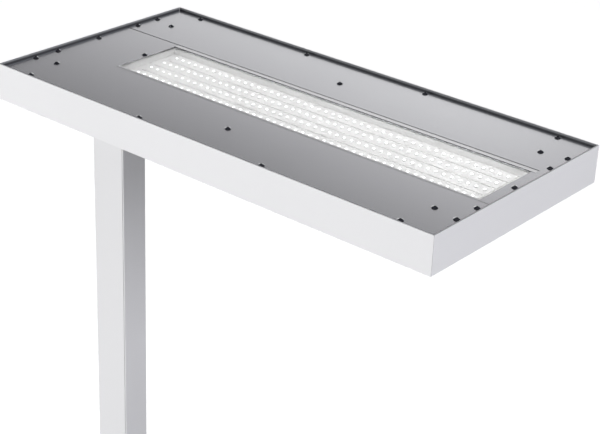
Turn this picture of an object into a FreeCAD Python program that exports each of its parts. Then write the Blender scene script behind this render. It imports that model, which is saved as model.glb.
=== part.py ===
"""Office floor lamp: a flat rectangular light head carried near one end by a slim mast on a steel base.

All sizes are millimetres. The origin is on the floor under the mast's axis, with +Z up, +X along the head
towards its free end and +Y towards the head's far long side. Inside the head, places are given as
"along" (from the mast end's outer face), "across" (from the near side's outer face) and "up" (from the
head's underside).
"""

import FreeCAD, Part
import math
import os

Vector = FreeCAD.Vector
UP = Vector(0, 0, 1)
DOWN = Vector(0, 0, -1)

# ---------------------------------------------------------------- overall sizes
total_height = 1950.0        # floor to the head's top rim
head_length = 650.0
head_width = 312.0
head_depth = 46.0            # top rim to underside
mast_inset = 44.0            # mast axis in from the head's mast end

# ---------------------------------------------------------------- head frame rails
rail_wall = 2.0
rim_height = 3.4             # the rim stands this far above the cover plates
ledge_thickness = 2.0        # ledge under the cover plates
boss_width = 8.0             # screw boss along the ledge's inner edge
boss_height = 8.0
chassis_ledge_up = 18.0      # underside of the ledge that carries the chassis
chassis_ledge_thickness = 2.0
chassis_ledge_reach = 10.0
lip_thickness = 1.5          # bottom lip that carries the diffuser
lip_reach = 9.0
rail_chamfer = 0.4
mitre_gap = 0.15             # each rail stops this short of the mitre's diagonal

# ---------------------------------------------------------------- cover plates and their screws
cover_sheet = 1.5
cover_edge_gap = 2.2         # shadow gap between the plates and the rails
near_seam_gap = 0.9
far_seam_gap = 1.5
seam_run_out = 5.0           # the far seam runs on this far past the window
window_start = 98.0          # window edge, along from the mast end
window_end_margin = 19.0     # window edge to the free end
window_width = 96.0
window_offset = -1.0         # window centre line from the head's centre line
near_bead_width = 3.7        # glazing beads between the window and the two seams
far_bead_width = 7.2
bead_chamfer = 0.7
bead_end_gap = 0.1
long_screw_margin = 48.0     # first and last screw on a long side
long_screw_count = 4
edge_screw_inset = 9.2       # screw line in from the outer faces
end_screw_offsets = (-105.0, -69.0, 0.0, 69.0, 105.0)
inner_screw_margin = 40.5
inner_screw_offset = 99.0
pane_screw_setback = 5.0     # the screw beside the window

# ---------------------------------------------------------------- screws: radius, head radius, head height
m4_radius = 2.0
m4_head_radius = 3.6
m4_head_height = 2.0
m4_length = 8.0
m4_socket_flats = 2.5
m3_radius = 1.5
m3_head_radius = 2.8
m3_head_height = 1.6
m3_length = 4.0
m3_socket_flats = 2.0
m5_radius = 2.5
m5_head_radius = 4.7
m5_head_height = 2.6
m5_socket_flats = 3.0
m6_radius = 3.0
m6_head_radius = 5.0
m6_head_height = 6.0
m6_length = 30.0
m6_socket_flats = 5.0
m8_radius = 4.0
m8_head_radius = 7.8
m8_head_height = 4.0
m8_length = 36.0
m8_socket_flats = 5.0
dome_shoulder_share = 0.3    # straight edge of a domed top, as a share of its height
socket_share = 0.6           # depth of a screw's socket, as a share of its head's height
thread_clearance = 0.05      # between a modelled screw and its tapped hole
cut_margin = 1.0             # cutters run past a face by this much
hole_clearance = 0.25        # between a screw and a plain hole

# ---------------------------------------------------------------- upward light
pane_thickness = 2.0
pane_overlap = 5.0           # clear pane reaches this far under the plates and beads
pane_screw_overlap = 11.0    # and this far at the mast end, where a screw goes through it
tray_sheet = 1.0
tray_reveal = 0.2            # tray wall stands back from the window's edge
tray_flange = 4.0
tray_nut_radius = 3.6
tray_nut_height = 4.0
led_depth = 12.0             # LED tops under the head's top rim
led_rows = 4
led_row_pitch = 22.3
led_row_centre_shift = -0.3  # LED field's centre line from the head's centre line
led_pitch = 10.55
led_start_gap = 17.8         # first and last LED from the window's ends
led_end_gap = 19.4
led_radius = 2.4
led_height = 1.5
board_thickness = 1.6
uplight_board_width = 20.0
board_end_margin = 7.0       # board end past its last LED
sink_base = 3.0
sink_fin = 2.0
sink_fin_count = 9
sink_side_margin = 5.0       # heat sink narrower than the tray floor, each side
sink_end_margin = 12.0

# ---------------------------------------------------------------- chassis and its electrics
chassis_sheet = 1.5
chassis_edge_clearance = 0.5
chassis_screws_per_side = 4
standoff_radius = 4.0
standoff_tap_depth = 10.0
driver_length = 360.0
driver_width = 30.0
driver_top_gap = 1.6         # between a driver and the cover plate over it
driver_start = 130.0
driver_ear = 12.0
driver_ear_thickness = 3.0
driver_gap = 5.0             # between a driver and the tray
driver_edge_chamfer = 1.2
terminal_length = 34.0
terminal_width = 20.0
terminal_height = 15.0
terminal_gap = 44.0          # terminal block out from the mast axis
terminal_poles = 5
terminal_well_radius = 2.0
terminal_well_depth = 6.0
lead_radius = 2.0            # leads from the terminal block to the drivers
lead_bend = 6.0
lead_straight = 12.0         # straight stretch where a lead leaves or meets its connector
bracket_leg = 32.0
bracket_thickness = 3.0
bracket_height = 8.5
bracket_up = 22.0
grub_length = 2.6
grub_place_share = 0.7       # grub screw along the bracket's leg

# ---------------------------------------------------------------- downward light
diffuser_thickness = 3.0
diffuser_edge_clearance = 0.5
cross_bar_width = 10.0
cross_bar_end_clearance = 0.3
downlight_boards_count = 4
downlight_board_pitch = 64.0
downlight_board_width = 18.0
downlight_leds_per_board = 16
downlight_led_side = 3.0
downlight_led_height = 0.8
downlight_end_margin = 14.0
downlight_start_gap = 10.0   # board end past the cross bar's centre

# ---------------------------------------------------------------- head to mast joint
underplate_thickness = 4.0
underplate_length = 96.0
underplate_edge_clearance = 0.3
neck_length = 52.0
neck_width = 80.0
neck_screw_x = 17.0
neck_screw_y = 8.5
neck_screw_seat = 6.8        # cap screw seats this far under the neck block's top
underplate_screw_x = 20.0
underplate_screw_y = 33.0
underplate_screw_length = 14.0
cross_bar_screw_shares = (0.15, 0.5, 0.85)   # places across the head
cable_way_radius = 7.0

# ---------------------------------------------------------------- mast
mast_width = 55.0            # along X
mast_depth = 39.0            # along Y
mast_side_wall = 1.6
mast_web = 2.0
cover_strip_thickness = 1.6
cover_strip_standoff = 1.0   # ribs on the cover strips stand off the web
cover_strip_rib = 2.0
cover_strip_rib_inset = 6.0
cover_strip_tight_gap = 0.1
cover_strip_prise_gap = 1.1  # shadow gap that takes a prising tool
spigot_clearance = 0.2
head_spigot_length = 70.0
foot_spigot_length = 80.0
web_screw_first = 25.0       # screws through the webs, from the mast's end
web_screw_pitch = 28.0
web_screw_radius = 2.0
web_screw_head_radius = 3.6
web_screw_head_height = 1.6
web_screw_length = 8.0
harness_radius = 2.5
harness_offset_y = 1.5       # harness stands off the mast axis
harness_bend = 8.0
harness_start = 26.0         # over the control's centre

# ---------------------------------------------------------------- push-button control on the mast
control_height = 1080.0      # floor to the control's centre
bezel_width = 30.0
bezel_height = 104.0
bezel_proud = 1.5
bezel_face = 1.2
housing_width = 26.0
housing_height = 86.0
housing_depth = 12.0
housing_wall = 1.4
housing_fit = 0.2            # housing in the cut-outs of strip and web
button_width = 19.4
button_height = 37.4
button_pitch = 41.0
button_opening_gap = 0.3     # button in its opening
button_flange = 0.9          # flange past the cap, each side
button_flange_thickness = 1.0
button_flange_gap = 0.3
button_proud = 1.5           # cap in front of the bezel
button_travel = 1.2
button_corner = 2.0
button_stem_radius = 2.5
switch_side = 6.0
switch_height = 3.5
switch_plunger_radius = 1.6
plunger_bore_clearance = 0.1
plunger_length = 2.2
plunger_entry = 0.8          # plunger inside the switch at rest
control_board_thickness = 1.6
control_board_clearance = 0.2
control_screw_offset = 47.5
control_screw_length = 6.2

# ---------------------------------------------------------------- mains lead gland
gland_height = 130.0         # floor to the gland's axis
gland_shank_radius = 8.0
gland_shank_fit = 0.15
gland_hex_flats = 20.0
gland_hex_thickness = 5.0
gland_nut_thickness = 4.0
gland_shank_inside = 7.0     # shank past the web's inner face
gland_way_radius = 5.2
gland_neck_radius = 8.6
gland_neck_length = 14.0
gland_cap_wall = 1.4
gland_cap_length = 13.0
gland_seal_radius = 6.6
gland_seal_length = 12.0
gland_bore_radius = 3.6      # takes a 7 mm mains lead
gland_cap_face = 1.5
gland_cap_round = 1.3
gland_fit = 0.1

# ---------------------------------------------------------------- base
base_thickness = 8.0
base_length = 480.0
base_width = 320.0
base_behind = 100.0          # base behind the mast axis
base_corner = 14.0
base_chamfer = 1.0
underlay_thickness = 2.0
underlay_inset = 4.0
foot_screw_x = 17.0
foot_screw_y = 8.0

# ---------------------------------------------------------------- places that follow from the sizes
head_x = -mast_inset
head_y = -head_width / 2
head_z = total_height - head_depth
base_top = underlay_thickness + base_thickness
cover_top = head_depth - rim_height
cover_under = cover_top - cover_sheet
ledge_under = cover_under - ledge_thickness
ledge_reach = edge_screw_inset + boss_width / 2
chassis_up = chassis_ledge_up + chassis_ledge_thickness
chassis_top = chassis_up + chassis_sheet
window_end = head_length - window_end_margin
window_near = head_width / 2 + window_offset - window_width / 2
window_far = window_near + window_width
mast_across = head_width / 2
underplate_top = lip_thickness + underplate_thickness
mast_top = head_z + lip_thickness
cavity_x = mast_width - 2 * mast_side_wall
cavity_y = mast_depth - 2 * (mast_web + cover_strip_standoff + cover_strip_thickness)
web_outer_y = mast_depth / 2 - cover_strip_thickness - cover_strip_standoff
spigot_x = cavity_x - 2 * spigot_clearance
spigot_y = cavity_y - 2 * spigot_clearance
pane_screw_along = window_start - pane_screw_setback
window_centre = head_width / 2 + window_offset
board_top = head_depth - led_depth - led_height
tray_floor_up = board_top - board_thickness - tray_sheet
driver_height = cover_under - driver_top_gap - chassis_top


# ---------------------------------------------------------------- shape helpers
def block(x0, x1, y0, y1, z0, z1):
    """A block between two corners."""
    return Part.makeBox(x1 - x0, y1 - y0, z1 - z0, Vector(x0, y0, z0))


def in_head(along, across, up):
    """A place inside the head, as a point of the lamp's frame."""
    return Vector(head_x + along, head_y + across, head_z + up)


def head_block(along0, along1, across0, across1, up0, up1):
    """A block given in the head's own along, across and up."""
    low = in_head(along0, across0, up0)
    high = in_head(along1, across1, up1)
    return block(low.x, high.x, low.y, high.y, low.z, high.z)


def rod(start, radius, length, direction=UP):
    """A round bar or a drill."""
    return Part.makeCylinder(radius, length, start, direction)


def prism(points, rise):
    """A flat polygon swept along the vector rise."""
    return Part.Face(Part.makePolygon(points + [points[0]])).extrude(rise)


def hexagon(centre, flats, rise):
    """A hexagonal bar, given the distance across its flats, standing along rise."""
    reach = flats / math.sqrt(3)
    turn = FreeCAD.Rotation(UP, rise)
    corners = []
    for k in range(6):
        angle = math.radians(60 * k)
        corners.append(centre + turn.multVec(Vector(reach * math.cos(angle), reach * math.sin(angle), 0)))
    return prism(corners, rise)


def rounded_block(x0, x1, y0, y1, z0, z1, radius, axis=UP):
    """A block whose edges along one axis are rounded."""
    body = block(x0, x1, y0, y1, z0, z1)
    edges = []
    for edge in body.Edges:
        run = edge.Vertexes[1].Point - edge.Vertexes[0].Point
        if abs(abs(run.normalize().dot(axis)) - 1) < 1e-6:
            edges.append(edge)
    return body.makeFillet(radius, edges)


def domed_disc(radius, height):
    """A disc whose top is a spherical dome over a short straight edge. Its underside is at z = 0."""
    shoulder = height * dome_shoulder_share
    rise = height - shoulder
    sphere_radius = (rise ** 2 + radius ** 2) / (2 * rise)
    lean = math.asin(radius / sphere_radius) / 2
    crown = Vector(sphere_radius * math.sin(lean), 0, height - sphere_radius * (1 - math.cos(lean)))
    corners = [Vector(0, 0, height), Vector(0, 0, 0), Vector(radius, 0, 0), Vector(radius, 0, shoulder)]
    edges = [Part.LineSegment(start, end).toShape() for start, end in zip(corners, corners[1:])]
    edges.append(Part.Arc(corners[-1], crown, corners[0]).toShape())
    return Part.Face(Part.Wire(edges)).revolve(Vector(0, 0, 0), UP, 360)


def placed(shape, point, direction=UP):
    """A copy of a shape made along +Z at the origin, moved to a point and turned to a direction."""
    copy = shape.copy()
    copy.Placement = FreeCAD.Placement(point, FreeCAD.Rotation(UP, direction))
    return copy


def domed_screw(radius, length, head_radius, head_height, flats):
    """A button-head screw: its head stands above z = 0 and its shank hangs below."""
    head = domed_disc(head_radius, head_height)
    socket = hexagon(Vector(0, 0, head_height * (1 - socket_share)), flats, Vector(0, 0, head_height))
    shank = rod(Vector(0, 0, -length), radius, length)
    return head.cut(socket).fuse(shank).removeSplitter()


def cap_screw(radius, length, head_radius, head_height, flats):
    """A cylinder-head screw with a hexagon socket."""
    head = rod(Vector(0, 0, 0), head_radius, head_height)
    socket = hexagon(Vector(0, 0, head_height * (1 - socket_share)), flats, Vector(0, 0, head_height))
    shank = rod(Vector(0, 0, -length), radius, length)
    return head.cut(socket).fuse(shank).removeSplitter()


def flat_screw(radius, length, head_radius, head_height, flats):
    """A countersunk screw: its flat head ends at z = 0 and the screw hangs below."""
    head = Part.makeCone(radius, head_radius, head_height, Vector(0, 0, -head_height))
    socket = hexagon(Vector(0, 0, -head_height * socket_share), flats, Vector(0, 0, head_height))
    shank = rod(Vector(0, 0, -length), radius, length)
    return head.fuse(shank).cut(socket).removeSplitter()


def flat_seat(point, direction, radius, head_radius, head_height, depth):
    """The cutter for a countersunk screw whose head ends at point and faces along direction."""
    wide = head_radius + hole_clearance
    cone = Part.makeCone(radius + hole_clearance, wide, head_height, Vector(0, 0, -head_height))
    hole = rod(Vector(0, 0, -depth), radius + hole_clearance, depth)
    return placed(cone.fuse(hole), point, direction)


def routed_tube(name, points, bend_radii, radius):
    """A tube along straight runs joined by tangent arcs, one arc radius for each inner point."""
    edges = []
    here = points[0]
    for k, bend in enumerate(bend_radii, start=1):
        back = (points[k - 1] - points[k]).normalize()
        ahead = (points[k + 1] - points[k]).normalize()
        half_turn = (math.pi - back.getAngle(ahead)) / 2
        setback = bend * math.tan(half_turn)
        start = points[k] + back * setback
        end = points[k] + ahead * setback
        bisector = (back + ahead).normalize()
        middle = points[k] + bisector * (bend / math.cos(half_turn) - bend)
        edges.append(Part.LineSegment(here, start).toShape())
        edges.append(Part.Arc(start, middle, end).toShape())
        here = end
    edges.append(Part.LineSegment(here, points[-1]).toShape())
    path = Part.Wire(edges)
    outline = Part.Wire(Part.makeCircle(radius, points[0], points[1] - points[0]))
    tube = path.makePipeShell([outline], True, False)
    expected = math.pi * radius ** 2 * path.Length
    print(name, "length", round(path.Length, 1), "bend radii", bend_radii,
          "volume share", round(tube.Volume / expected, 4))
    return tube


# ---------------------------------------------------------------- where the screws are
def long_side_screws():
    """Places along the head of the screws on each long side."""
    pitch = (head_length - 2 * long_screw_margin) / (long_screw_count - 1)
    return [long_screw_margin + pitch * k for k in range(long_screw_count)]


def rail_screw_places():
    """(along, across) of every cover screw that goes into a rail."""
    places = []
    for along in long_side_screws():
        places.append((along, edge_screw_inset))
        places.append((along, head_width - edge_screw_inset))
    for offset in end_screw_offsets:
        places.append((edge_screw_inset, head_width / 2 + offset))
        places.append((head_length - edge_screw_inset, head_width / 2 + offset))
    return places


def standoff_places():
    """(along, across) of the cover screws that go into the standoffs on the chassis."""
    alongs = (inner_screw_margin, head_length / 2, head_length - inner_screw_margin)
    offsets = (-inner_screw_offset, inner_screw_offset)
    return [(along, head_width / 2 + offset) for along in alongs for offset in offsets]


def cover_screw_places():
    """Every screw that shows on top of the head."""
    return rail_screw_places() + standoff_places() + [(pane_screw_along, window_centre)]


# ---------------------------------------------------------------- head frame
def rail_section():
    """The rail's outline as (inward, up) points."""
    boss_start = edge_screw_inset - boss_width / 2
    return [
        (rail_chamfer, 0), (lip_reach, 0), (lip_reach, lip_thickness), (rail_wall, lip_thickness),
        (rail_wall, chassis_ledge_up), (chassis_ledge_reach, chassis_ledge_up),
        (chassis_ledge_reach, chassis_up), (rail_wall, chassis_up),
        (rail_wall, ledge_under), (boss_start, ledge_under), (boss_start, ledge_under - boss_height),
        (ledge_reach, ledge_under - boss_height), (ledge_reach, cover_under), (rail_wall, cover_under),
        (rail_wall, head_depth),
        (rail_chamfer, head_depth), (0, head_depth - rail_chamfer), (0, rail_chamfer),
    ]


def rail(length, corner, turn):
    """A mitred rail of the head frame, from a corner of the head, turned about +Z."""
    outline = [Vector(0, inward, up) for inward, up in rail_section()]
    bar = prism(outline, Vector(length, 0, 0))
    reach = ledge_reach + mitre_gap
    ends = [
        Vector(mitre_gap, 0, 0), Vector(length - mitre_gap, 0, 0),
        Vector(length - mitre_gap - reach, reach, 0), Vector(mitre_gap + reach, reach, 0),
    ]
    bar = bar.common(prism(ends, Vector(0, 0, head_depth)))
    bar.rotate(Vector(0, 0, 0), UP, turn)
    bar.translate(corner)
    for along, across in rail_screw_places():
        hole_start = in_head(along, across, cover_under - m4_length)
        bar = bar.cut(rod(hole_start, m4_radius + thread_clearance, m4_length))
    for point in chassis_screw_points():
        bar = bar.cut(rod(point - UP * m3_length, m3_radius + thread_clearance, m3_length))
    return bar


def frame_rails():
    """The four rails, by node name."""
    return {
        "near_frame_rail": [rail(head_length, in_head(0, 0, 0), 0)],
        "free_end_frame_rail": [rail(head_width, in_head(head_length, 0, 0), 90)],
        "far_frame_rail": [rail(head_length, in_head(head_length, head_width, 0), 180)],
        "mast_end_frame_rail": [rail(head_width, in_head(0, head_width, 0), 270)],
    }


def corners():
    """Each inner corner of the frame as (along, across, direction along, direction across)."""
    inner = rail_wall
    return [
        (inner, inner, 1, 1), (head_length - inner, inner, -1, 1),
        (head_length - inner, head_width - inner, -1, -1), (inner, head_width - inner, 1, -1),
    ]


def corner_brackets():
    """An angle piece in each corner of the frame and the grub screws that lock it."""
    brackets = []
    grubs = []
    top = bracket_up + bracket_height
    middle = bracket_up + bracket_height / 2
    leg_middle = bracket_leg * grub_place_share
    for along, across, sx, sy in corners():
        leg_x = head_block(*sorted((along, along + sx * bracket_leg)),
                           *sorted((across, across + sy * bracket_thickness)), bracket_up, top)
        leg_y = head_block(*sorted((along, along + sx * bracket_thickness)),
                           *sorted((across, across + sy * bracket_leg)), bracket_up, top)
        bracket = leg_x.fuse(leg_y).removeSplitter()
        spots = (
            (in_head(along + sx * leg_middle, across, middle), Vector(0, sy, 0)),
            (in_head(along, across + sy * leg_middle, middle), Vector(sx, 0, 0)),
        )
        for point, direction in spots:
            bracket = bracket.cut(rod(point, m4_radius + thread_clearance, bracket_thickness, direction))
            grubs.append(rod(point, m4_radius, grub_length, direction))
        brackets.append(bracket)
    return {"corner_brackets": brackets, "corner_grub_screws": grubs}


# ---------------------------------------------------------------- cover plates
def drilled(plate, places, up0, up1, radius):
    """A plate of the head with a round hole at each place."""
    for along, across in places:
        start = in_head(along, across, up0 - cut_margin)
        plate = plate.cut(rod(start, radius, up1 - up0 + 2 * cut_margin))
    return plate


def cover_plates():
    """Two L-shaped cover plates, which leave the window between them, and the beads along the window."""
    start = rail_wall + cover_edge_gap
    end = head_length - start
    near_seam = window_near - near_bead_width
    far_seam = window_far + far_bead_width
    run_out = window_end + seam_run_out
    near = head_block(start, end, start, near_seam - near_seam_gap, cover_under, cover_top)
    mast_zone = head_block(start, window_start, start, far_seam, cover_under, cover_top)
    far = head_block(start, end, far_seam + far_seam_gap, head_width - start, cover_under, cover_top)
    free_zone = head_block(window_end, end, near_seam, head_width - start, cover_under, cover_top)
    slot = head_block(window_end, run_out, window_far, far_seam + far_seam_gap, cover_under, cover_top)
    plates = {"near_cover_plate": near.fuse(mast_zone).removeSplitter(),
              "far_cover_plate": far.fuse(free_zone).cut(slot).removeSplitter()}
    made = {name: [drilled(plate, cover_screw_places(), cover_under, cover_top,
                           m4_radius + hole_clearance)] for name, plate in plates.items()}
    near_bead = glazing_bead(window_near, near_seam, window_end)
    far_bead = glazing_bead(window_far, far_seam, run_out)
    made["glazing_beads"] = [near_bead, far_bead]
    return made


def glazing_bead(window_edge, seam_edge, far_end):
    """A flat bead on the pane's edge, chamfered towards the window."""
    start = in_head(window_start + bead_end_gap, 0, 0)
    length = far_end - window_start - 2 * bead_end_gap
    inward = math.copysign(bead_chamfer, seam_edge - window_edge)
    outline = [(window_edge, cover_under), (seam_edge, cover_under), (seam_edge, cover_top),
               (window_edge + inward, cover_top), (window_edge, cover_top - bead_chamfer)]
    corners = [start + Vector(0, across, up) for across, up in outline]
    return prism(corners, Vector(length, 0, 0))


def cover_screws():
    """The domed screws on top of the head."""
    one = domed_screw(m4_radius, m4_length, m4_head_radius, m4_head_height, m4_socket_flats)
    return {"cover_screws": [placed(one, in_head(a, b, cover_top)) for a, b in cover_screw_places()]}


# ---------------------------------------------------------------- upward light
def window_pane():
    """The clear pane under the cover plates and the beads."""
    under = cover_under - pane_thickness
    pane = head_block(window_start - pane_screw_overlap, window_end + pane_overlap,
                      window_near - pane_overlap, window_far + pane_overlap, under, cover_under)
    place = [(pane_screw_along, window_centre)]
    return {"window_pane": [drilled(pane, place, under, cover_under, m4_radius + hole_clearance)]}


def tray_limits():
    """The tray's inside: along from and to, across from and to."""
    return (window_start - tray_reveal, window_end + tray_reveal,
            window_near - tray_reveal, window_far + tray_reveal)


def reflector_tray():
    """The white folded tray that holds the LED boards, and the clinch nut in its tab."""
    a0, a1, c0, c1 = tray_limits()
    rim = cover_under - pane_thickness
    flange_under = rim - tray_sheet
    shell = head_block(a0 - tray_sheet, a1 + tray_sheet, c0 - tray_sheet, c1 + tray_sheet,
                       tray_floor_up, rim)
    flange = head_block(a0 - tray_flange, a1 + tray_flange, c0 - tray_flange, c1 + tray_flange,
                        flange_under, rim)
    tab_half = 2 * tray_nut_radius
    tab = head_block(window_start - pane_screw_overlap, a0, window_centre - tab_half,
                     window_centre + tab_half, flange_under, rim)
    hollow = head_block(a0, a1, c0, c1, tray_floor_up + tray_sheet, rim)
    tray = shell.fuse([flange, tab]).cut(hollow).removeSplitter()
    place = [(pane_screw_along, window_centre)]
    tray = drilled(tray, place, flange_under, rim, m4_radius + hole_clearance)
    nut_start = in_head(pane_screw_along, window_centre, flange_under - tray_nut_height)
    nut = rod(nut_start, tray_nut_radius, tray_nut_height)
    nut = nut.cut(rod(nut_start, m4_radius + thread_clearance, tray_nut_height))
    return {"reflector_tray": [tray], "tray_nut": [nut]}


def led_acrosses():
    """The place across the head of each row of upward LEDs."""
    first = head_width / 2 + led_row_centre_shift - led_row_pitch * (led_rows - 1) / 2
    return [first + led_row_pitch * k for k in range(led_rows)]


def led_alongs():
    """The place along the head of each upward LED in a row, near the nominal pitch."""
    first = window_start + led_start_gap
    span = window_end - led_end_gap - first
    gaps = round(span / led_pitch)
    return [first + span * k / gaps for k in range(gaps + 1)]


def uplight_leds():
    """Four boards in the tray and their rows of domed LEDs."""
    alongs = led_alongs()
    dome = domed_disc(led_radius, led_height)
    boards = []
    leds = []
    for across in led_acrosses():
        boards.append(head_block(alongs[0] - board_end_margin, alongs[-1] + board_end_margin,
                                 across - uplight_board_width / 2, across + uplight_board_width / 2,
                                 board_top - board_thickness, board_top))
        leds.extend(placed(dome, in_head(along, across, board_top)) for along in alongs)
    return {"uplight_boards": boards, "uplight_leds": leds}


def heat_sink():
    """The finned bar between the tray and the chassis."""
    a0, a1, c0, c1 = tray_limits()
    c0 += sink_side_margin
    c1 -= sink_side_margin
    under = tray_floor_up - sink_base
    body = head_block(a0 + sink_end_margin, a1 - sink_end_margin, c0, c1, under, tray_floor_up)
    pitch = (c1 - c0 - sink_fin) / (sink_fin_count - 1)
    fins = [head_block(a0 + sink_end_margin, a1 - sink_end_margin, c0 + pitch * k,
                       c0 + pitch * k + sink_fin, chassis_top, under) for k in range(sink_fin_count)]
    return {"heat_sink": [body.fuse(fins).removeSplitter()]}


# ---------------------------------------------------------------- chassis and electrics
def chassis_screw_points():
    """Top of the chassis at each screw into the rails' chassis ledges."""
    line = (rail_wall + chassis_ledge_reach) / 2
    pitch = head_length / chassis_screws_per_side
    points = []
    for k in range(chassis_screws_per_side):
        for across in (line, head_width - line):
            points.append(in_head(pitch * (k + 0.5), across, chassis_top))
    return points


def driver_across():
    """The centre line across the head of each LED driver."""
    _, _, c0, c1 = tray_limits()
    reach = tray_sheet + driver_gap + driver_width / 2
    return {"downlight_driver": c0 - reach, "uplight_driver": c1 + reach}


def driver_screw_places():
    """(along, across) of the screws in the drivers' ears."""
    ends = (driver_start - driver_ear / 2, driver_start + driver_length + driver_ear / 2)
    return [(along, across) for along in ends for across in driver_across().values()]


def chassis():
    """The sheet that stiffens the head and carries the light sources, with its screws."""
    edge = rail_wall + chassis_edge_clearance
    sheet = head_block(edge, head_length - edge, edge, head_width - edge, chassis_up, chassis_top)
    sheet = sheet.cut(rod(in_head(mast_inset, mast_across, chassis_up), cable_way_radius, chassis_sheet))
    sheet = drilled(sheet, driver_screw_places(), chassis_up, chassis_top, m3_radius + thread_clearance)
    for point in chassis_screw_points():
        sheet = sheet.cut(rod(point - UP * chassis_sheet, m3_radius + hole_clearance, chassis_sheet))
    screw = domed_screw(m3_radius, m3_length, m3_head_radius, m3_head_height, m3_socket_flats)
    return {"chassis_plate": [sheet],
            "chassis_screws": [placed(screw, point) for point in chassis_screw_points()]}


def cover_standoffs():
    """The posts on the chassis that take the inner cover screws."""
    posts = []
    for along, across in standoff_places():
        post = rod(in_head(along, across, chassis_top), standoff_radius, cover_under - chassis_top)
        tap_start = in_head(along, across, cover_under - standoff_tap_depth)
        posts.append(post.cut(rod(tap_start, m4_radius + thread_clearance, standoff_tap_depth)))
    return {"cover_standoffs": posts}


def drivers():
    """The two LED drivers, one for each light direction, and their screws."""
    made = {}
    end = driver_start + driver_length
    ear_top = chassis_top + driver_ear_thickness
    for name, across in driver_across().items():
        half = driver_width / 2
        case = head_block(driver_start, end, across - half, across + half, chassis_top,
                          chassis_top + driver_height)
        long_edges = [edge for edge in case.Edges
                      if edge.BoundBox.XLength > half and edge.BoundBox.ZMin > head_z + ear_top]
        case = case.makeChamfer(driver_edge_chamfer, long_edges)
        ears = head_block(driver_start - driver_ear, end + driver_ear, across - half / 2,
                          across + half / 2, chassis_top, ear_top)
        body = case.fuse(ears).removeSplitter()
        made[name] = [drilled(body, driver_screw_places(), chassis_top, ear_top,
                              m3_radius + hole_clearance)]
    screw = domed_screw(m3_radius, driver_ear_thickness + chassis_sheet, m3_head_radius,
                        m3_head_height, m3_socket_flats)
    made["driver_screws"] = [placed(screw, in_head(a, b, ear_top)) for a, b in driver_screw_places()]
    return made


def terminal_block():
    """The terminal block on the chassis, with a screw well for each pole."""
    near = mast_across + terminal_gap
    start = mast_inset - terminal_length / 2
    top = chassis_top + terminal_height
    body = head_block(start, start + terminal_length, near, near + terminal_width, chassis_top, top)
    pitch = terminal_length / terminal_poles
    for k in range(terminal_poles):
        well = in_head(start + pitch * (k + 0.5), near + terminal_width / 2, top - terminal_well_depth)
        body = body.cut(rod(well, terminal_well_radius, terminal_well_depth))
    return {"terminal_block": [body]}


def head_wiring():
    """The two leads from the terminal block to the drivers."""
    start_up = chassis_top + terminal_height / 2
    end_up = chassis_top + driver_height / 2
    leave = mast_inset + terminal_length / 2
    quarter = terminal_width / 4
    far_start = mast_across + terminal_gap + 3 * quarter
    near_start = mast_across + terminal_gap + quarter
    far_end = driver_across()["uplight_driver"]
    near_end = driver_across()["downlight_driver"]
    far_turn = leave + lead_straight
    far_arrive = driver_start - driver_ear - lead_straight / 2
    near_turn = (leave + window_start - pane_screw_overlap) / 2
    uplight = [in_head(leave, far_start, start_up), in_head(far_turn, far_start, start_up),
               in_head(far_arrive, far_end, end_up), in_head(driver_start, far_end, end_up)]
    downlight = [in_head(leave, near_start, start_up), in_head(near_turn, near_start, start_up),
                 in_head(near_turn, near_end, end_up), in_head(driver_start, near_end, end_up)]
    bends = [lead_bend, lead_bend]
    return {"head_wiring": [routed_tube("uplight lead", uplight, bends, lead_radius),
                            routed_tube("downlight lead", downlight, bends, lead_radius)]}


# ---------------------------------------------------------------- downward light
def cross_bar_limits():
    """The cross bar's edges along the head. The underplate ends over it and the diffuser begins there."""
    middle = underplate_length + diffuser_edge_clearance / 2
    return middle - cross_bar_width / 2, middle + cross_bar_width / 2


def diffuser():
    """The prismatic diffuser, the bar under its mast end and that bar's screws."""
    edge = rail_wall + diffuser_edge_clearance
    start = underplate_length + diffuser_edge_clearance
    sheet = head_block(start, head_length - edge, edge, head_width - edge, lip_thickness,
                       lip_thickness + diffuser_thickness)
    bar_start, bar_end = cross_bar_limits()
    reach = lip_reach + cross_bar_end_clearance
    bar = head_block(bar_start, bar_end, reach, head_width - reach, 0, lip_thickness)
    screws = []
    for point in cross_bar_screw_points():
        bar = bar.cut(flat_seat(point, DOWN, m3_radius, m3_head_radius, lip_thickness, m3_length))
        screw = flat_screw(m3_radius, m3_length, m3_head_radius, lip_thickness, m3_socket_flats)
        screws.append(placed(screw, point, DOWN))
    return {"diffuser_panel": [sheet], "diffuser_cross_bar": [bar], "cross_bar_screws": screws}


def cross_bar_screw_points():
    """The underside of the cross bar at each of its screws."""
    bar_start, _ = cross_bar_limits()
    along = (bar_start + underplate_length) / 2
    return [in_head(along, head_width * share, 0) for share in cross_bar_screw_shares]


def downlight():
    """The boards and LEDs under the chassis."""
    start = underplate_length + downlight_start_gap
    end = head_length - downlight_end_margin
    pitch = (end - start) / downlight_leds_per_board
    under = chassis_up - board_thickness
    half = downlight_led_side / 2
    boards = []
    leds = []
    for row in range(downlight_boards_count):
        across = head_width / 2 + downlight_board_pitch * (row - (downlight_boards_count - 1) / 2)
        boards.append(head_block(start, end, across - downlight_board_width / 2,
                                 across + downlight_board_width / 2, under, chassis_up))
        for k in range(downlight_leds_per_board):
            along = start + pitch * (k + 0.5)
            leds.append(head_block(along - half, along + half, across - half, across + half,
                                   under - downlight_led_height, under))
    return {"downlight_boards": boards, "downlight_leds": leds}


# ---------------------------------------------------------------- head to mast
def neck_points(dx, dy, z):
    """The four places round the mast axis at (+-dx, +-dy)."""
    return [Vector(x, y, z) for x in (-dx, dx) for y in (-dy, dy)]


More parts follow.
